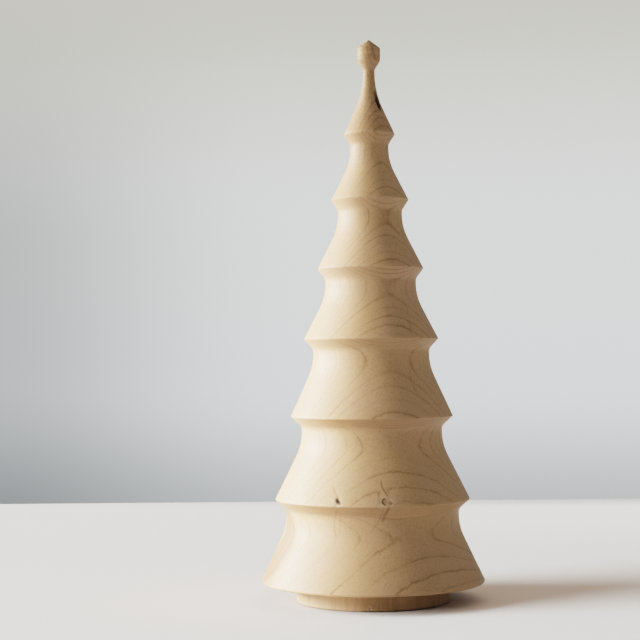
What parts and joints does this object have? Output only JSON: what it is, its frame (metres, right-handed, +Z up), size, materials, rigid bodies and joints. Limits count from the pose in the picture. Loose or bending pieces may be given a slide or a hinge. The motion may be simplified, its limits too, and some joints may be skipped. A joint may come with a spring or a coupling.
{
  "type": "turned wooden tree ornament",
  "caption": "Free-standing turned wooden tree: flared conical tiers under a bud-shaped finial, on a low round foot with a felt pad.",
  "frame": {"origin": "centre of the base, on the surface that the tree stands on", "axes": "+Z up, along the turned axis from the foot to the finial; X and Y level, with -Y towards the side that the picture shows"},
  "size_m": [0.1, 0.1, 0.253],
  "materials": {
    "turned_maple": "satin, thin oil",
    "foot_maple": "satin, thin oil, coarser turned edge",
    "dowel_beech": "plain, unfinished",
    "grey_felt": "pressed wool felt"
  },
  "bodies": {
    "root": {"tree_body": "turned_maple", "foot": "foot_maple", "centre_dowel": "dowel_beech", "felt_pad": "grey_felt"}
  },
  "joints": []
}
